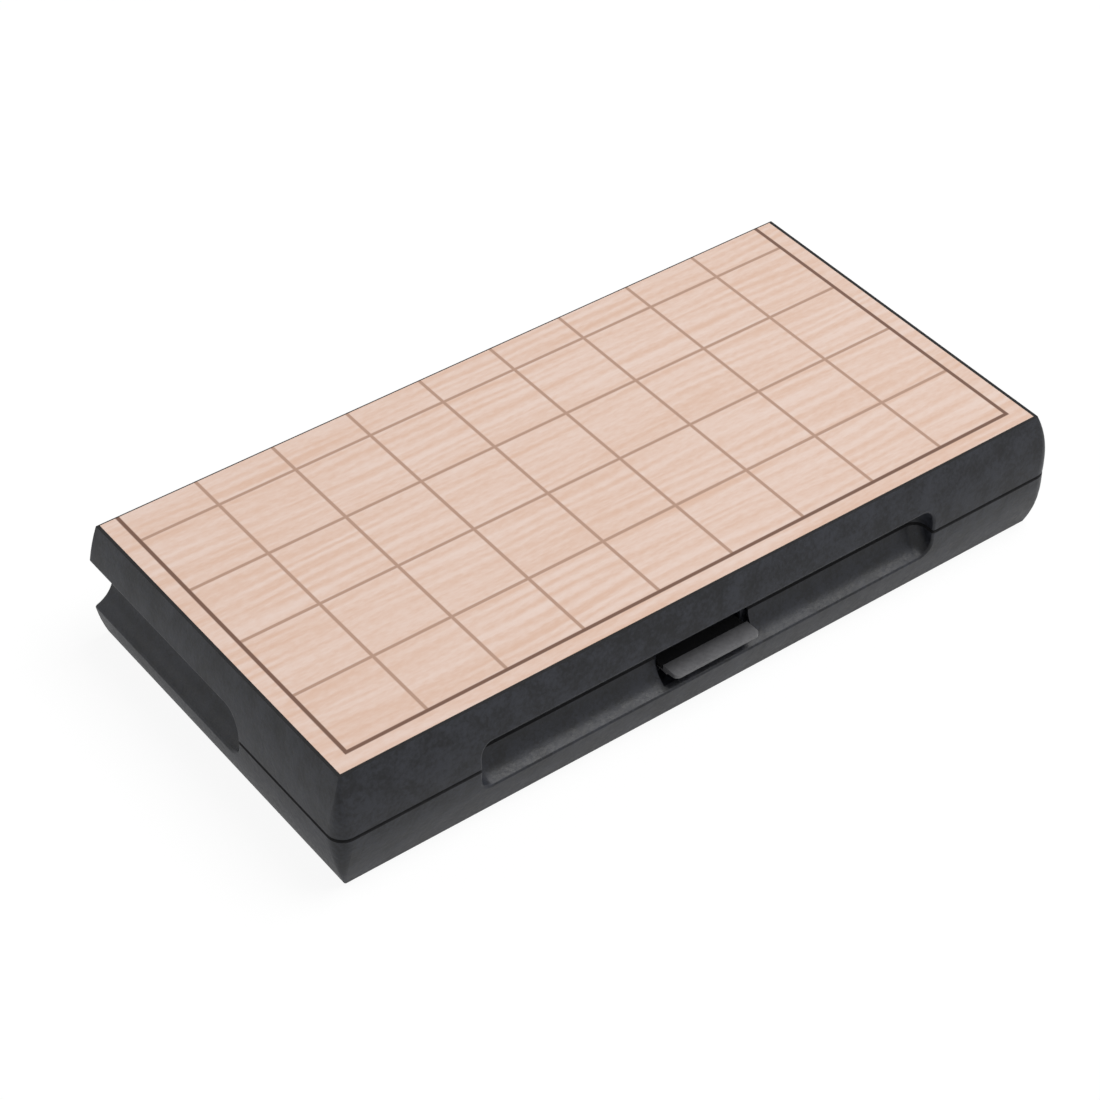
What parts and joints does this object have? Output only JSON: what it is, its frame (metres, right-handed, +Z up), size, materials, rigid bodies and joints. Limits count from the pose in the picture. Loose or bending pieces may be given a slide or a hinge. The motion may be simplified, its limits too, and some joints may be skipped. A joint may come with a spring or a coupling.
{
  "type": "folding magnetic shogi set",
  "caption": "Folding shogi board closed into its carrying case, hinged at the back and latched at the front, with magnetic pieces stored inside.",
  "frame": {"origin": "centre of the lower playing face, which the closed set lies on", "axes": "+X along the length, +Y towards the hinge at the back, +Z up; the latch faces -Y"},
  "size_m": [0.2492, 0.1269, 0.0394],
  "materials": {
    "shell_plastic": "fine spark-eroded grain, charcoal",
    "lever_plastic": "fine grain, black",
    "board_print": "satin printed film, pale wood grain with dark ruled lines",
    "sheet_steel": "tinned mild steel",
    "pin_steel": "drawn wire",
    "spring_steel": "spring wire",
    "piece_plastic": "moulded, satin, pale yellow"
  },
  "bodies": {
    "base": {"lower_shell": "shell_plastic", "lower_board_print": "board_print", "lower_steel_sheet": "sheet_steel", "hinge_pin_left": "pin_steel", "hinge_pin_right": "pin_steel", "latch_pin": "pin_steel", "latch_spring": "spring_steel"},
    "lid": {"upper_shell": "shell_plastic", "upper_board_print": "board_print", "upper_steel_sheet": "sheet_steel"},
    "latch": {"latch_lever": "lever_plastic"},
    "far_bishop_piece": {"far_bishop": "piece_plastic"},
    "far_gold_1_piece": {"far_gold_1": "piece_plastic"},
    "far_gold_2_piece": {"far_gold_2": "piece_plastic"},
    "far_king_piece": {"far_king": "piece_plastic"},
    "far_knight_1_piece": {"far_knight_1": "piece_plastic"},
    "far_knight_2_piece": {"far_knight_2": "piece_plastic"},
    "far_lance_1_piece": {"far_lance_1": "piece_plastic"},
    "far_lance_2_piece": {"far_lance_2": "piece_plastic"},
    "far_pawn_1_piece": {"far_pawn_1": "piece_plastic"},
    "far_pawn_2_piece": {"far_pawn_2": "piece_plastic"},
    "far_pawn_3_piece": {"far_pawn_3": "piece_plastic"},
    "far_pawn_4_piece": {"far_pawn_4": "piece_plastic"},
    "far_pawn_5_piece": {"far_pawn_5": "piece_plastic"},
    "far_pawn_6_piece": {"far_pawn_6": "piece_plastic"},
    "far_pawn_7_piece": {"far_pawn_7": "piece_plastic"},
    "far_pawn_8_piece": {"far_pawn_8": "piece_plastic"},
    "far_pawn_9_piece": {"far_pawn_9": "piece_plastic"},
    "far_rook_piece": {"far_rook": "piece_plastic"},
    "far_silver_1_piece": {"far_silver_1": "piece_plastic"},
    "far_silver_2_piece": {"far_silver_2": "piece_plastic"},
    "near_bishop_piece": {"near_bishop": "piece_plastic"},
    "near_gold_1_piece": {"near_gold_1": "piece_plastic"},
    "near_gold_2_piece": {"near_gold_2": "piece_plastic"},
    "near_king_piece": {"near_king": "piece_plastic"},
    "near_knight_1_piece": {"near_knight_1": "piece_plastic"},
    "near_knight_2_piece": {"near_knight_2": "piece_plastic"},
    "near_lance_1_piece": {"near_lance_1": "piece_plastic"},
    "near_lance_2_piece": {"near_lance_2": "piece_plastic"},
    "near_pawn_1_piece": {"near_pawn_1": "piece_plastic"},
    "near_pawn_2_piece": {"near_pawn_2": "piece_plastic"},
    "near_pawn_3_piece": {"near_pawn_3": "piece_plastic"},
    "near_pawn_4_piece": {"near_pawn_4": "piece_plastic"},
    "near_pawn_5_piece": {"near_pawn_5": "piece_plastic"},
    "near_pawn_6_piece": {"near_pawn_6": "piece_plastic"},
    "near_pawn_7_piece": {"near_pawn_7": "piece_plastic"},
    "near_pawn_8_piece": {"near_pawn_8": "piece_plastic"},
    "near_pawn_9_piece": {"near_pawn_9": "piece_plastic"},
    "near_rook_piece": {"near_rook": "piece_plastic"},
    "near_silver_1_piece": {"near_silver_1": "piece_plastic"},
    "near_silver_2_piece": {"near_silver_2": "piece_plastic"}
  },
  "joints": [
    {"name": "board_fold", "type": "hinge", "parent": "base", "child": "lid", "pos_m": [0, 0.05983, 0.0197], "axis": [-1, 0, 0], "range_deg": [0, 180]},
    {"name": "catch_lift", "type": "hinge", "parent": "base", "child": "latch", "pos_m": [0, -0.05092, 0.0132], "axis": [-1, 0, 0], "range_deg": [0, 12], "stiffness_Nm_per_rad": 0.02, "springref_deg": -17.19, "deforming": ["latch_spring"]},
    {"name": "lift_far_bishop", "type": "slide", "parent": "base", "child": "far_bishop_piece", "axis": [0, 0, 1], "range_m": [0, 0.028]},
    {"name": "lift_far_gold_1", "type": "slide", "parent": "base", "child": "far_gold_1_piece", "axis": [0, 0, 1], "range_m": [0, 0.028]},
    {"name": "lift_far_gold_2", "type": "slide", "parent": "base", "child": "far_gold_2_piece", "axis": [0, 0, 1], "range_m": [0, 0.028]},
    {"name": "lift_far_king", "type": "slide", "parent": "base", "child": "far_king_piece", "axis": [0, 0, 1], "range_m": [0, 0.028]},
    {"name": "lift_far_knight_1", "type": "slide", "parent": "base", "child": "far_knight_1_piece", "axis": [0, 0, 1], "range_m": [0, 0.028]},
    {"name": "lift_far_knight_2", "type": "slide", "parent": "base", "child": "far_knight_2_piece", "axis": [0, 0, 1], "range_m": [0, 0.028]},
    {"name": "lift_far_lance_1", "type": "slide", "parent": "base", "child": "far_lance_1_piece", "axis": [0, 0, 1], "range_m": [0, 0.028]},
    {"name": "lift_far_lance_2", "type": "slide", "parent": "base", "child": "far_lance_2_piece", "axis": [0, 0, 1], "range_m": [0, 0.028]},
    {"name": "lift_far_pawn_1", "type": "slide", "parent": "base", "child": "far_pawn_1_piece", "axis": [0, 0, 1], "range_m": [0, 0.028]},
    {"name": "lift_far_pawn_2", "type": "slide", "parent": "base", "child": "far_pawn_2_piece", "axis": [0, 0, 1], "range_m": [0, 0.028]},
    {"name": "lift_far_pawn_3", "type": "slide", "parent": "base", "child": "far_pawn_3_piece", "axis": [0, 0, 1], "range_m": [0, 0.028]},
    {"name": "lift_far_pawn_4", "type": "slide", "parent": "base", "child": "far_pawn_4_piece", "axis": [0, 0, 1], "range_m": [0, 0.028]},
    {"name": "lift_far_pawn_5", "type": "slide", "parent": "base", "child": "far_pawn_5_piece", "axis": [0, 0, 1], "range_m": [0, 0.028]},
    {"name": "lift_far_pawn_6", "type": "slide", "parent": "base", "child": "far_pawn_6_piece", "axis": [0, 0, 1], "range_m": [0, 0.028]},
    {"name": "lift_far_pawn_7", "type": "slide", "parent": "base", "child": "far_pawn_7_piece", "axis": [0, 0, 1], "range_m": [0, 0.028]},
    {"name": "lift_far_pawn_8", "type": "slide", "parent": "base", "child": "far_pawn_8_piece", "axis": [0, 0, 1], "range_m": [0, 0.028]},
    {"name": "lift_far_pawn_9", "type": "slide", "parent": "base", "child": "far_pawn_9_piece", "axis": [0, 0, 1], "range_m": [0, 0.028]},
    {"name": "lift_far_rook", "type": "slide", "parent": "base", "child": "far_rook_piece", "axis": [0, 0, 1], "range_m": [0, 0.028]},
    {"name": "lift_far_silver_1", "type": "slide", "parent": "base", "child": "far_silver_1_piece", "axis": [0, 0, 1], "range_m": [0, 0.028]},
    {"name": "lift_far_silver_2", "type": "slide", "parent": "base", "child": "far_silver_2_piece", "axis": [0, 0, 1], "range_m": [0, 0.028]},
    {"name": "lift_near_bishop", "type": "slide", "parent": "base", "child": "near_bishop_piece", "axis": [0, 0, 1], "range_m": [0, 0.028]},
    {"name": "lift_near_gold_1", "type": "slide", "parent": "base", "child": "near_gold_1_piece", "axis": [0, 0, 1], "range_m": [0, 0.028]},
    {"name": "lift_near_gold_2", "type": "slide", "parent": "base", "child": "near_gold_2_piece", "axis": [0, 0, 1], "range_m": [0, 0.028]},
    {"name": "lift_near_king", "type": "slide", "parent": "base", "child": "near_king_piece", "axis": [0, 0, 1], "range_m": [0, 0.028]},
    {"name": "lift_near_knight_1", "type": "slide", "parent": "base", "child": "near_knight_1_piece", "axis": [0, 0, 1], "range_m": [0, 0.028]},
    {"name": "lift_near_knight_2", "type": "slide", "parent": "base", "child": "near_knight_2_piece", "axis": [0, 0, 1], "range_m": [0, 0.028]},
    {"name": "lift_near_lance_1", "type": "slide", "parent": "base", "child": "near_lance_1_piece", "axis": [0, 0, 1], "range_m": [0, 0.028]},
    {"name": "lift_near_lance_2", "type": "slide", "parent": "base", "child": "near_lance_2_piece", "axis": [0, 0, 1], "range_m": [0, 0.028]},
    {"name": "lift_near_pawn_1", "type": "slide", "parent": "base", "child": "near_pawn_1_piece", "axis": [0, 0, 1], "range_m": [0, 0.028]},
    {"name": "lift_near_pawn_2", "type": "slide", "parent": "base", "child": "near_pawn_2_piece", "axis": [0, 0, 1], "range_m": [0, 0.028]},
    {"name": "lift_near_pawn_3", "type": "slide", "parent": "base", "child": "near_pawn_3_piece", "axis": [0, 0, 1], "range_m": [0, 0.028]},
    {"name": "lift_near_pawn_4", "type": "slide", "parent": "base", "child": "near_pawn_4_piece", "axis": [0, 0, 1], "range_m": [0, 0.028]},
    {"name": "lift_near_pawn_5", "type": "slide", "parent": "base", "child": "near_pawn_5_piece", "axis": [0, 0, 1], "range_m": [0, 0.028]},
    {"name": "lift_near_pawn_6", "type": "slide", "parent": "base", "child": "near_pawn_6_piece", "axis": [0, 0, 1], "range_m": [0, 0.028]},
    {"name": "lift_near_pawn_7", "type": "slide", "parent": "base", "child": "near_pawn_7_piece", "axis": [0, 0, 1], "range_m": [0, 0.028]},
    {"name": "lift_near_pawn_8", "type": "slide", "parent": "base", "child": "near_pawn_8_piece", "axis": [0, 0, 1], "range_m": [0, 0.028]},
    {"name": "lift_near_pawn_9", "type": "slide", "parent": "base", "child": "near_pawn_9_piece", "axis": [0, 0, 1], "range_m": [0, 0.028]},
    {"name": "lift_near_rook", "type": "slide", "parent": "base", "child": "near_rook_piece", "axis": [0, 0, 1], "range_m": [0, 0.028]},
    {"name": "lift_near_silver_1", "type": "slide", "parent": "base", "child": "near_silver_1_piece", "axis": [0, 0, 1], "range_m": [0, 0.028]},
    {"name": "lift_near_silver_2", "type": "slide", "parent": "base", "child": "near_silver_2_piece", "axis": [0, 0, 1], "range_m": [0, 0.028]}
  ]
}
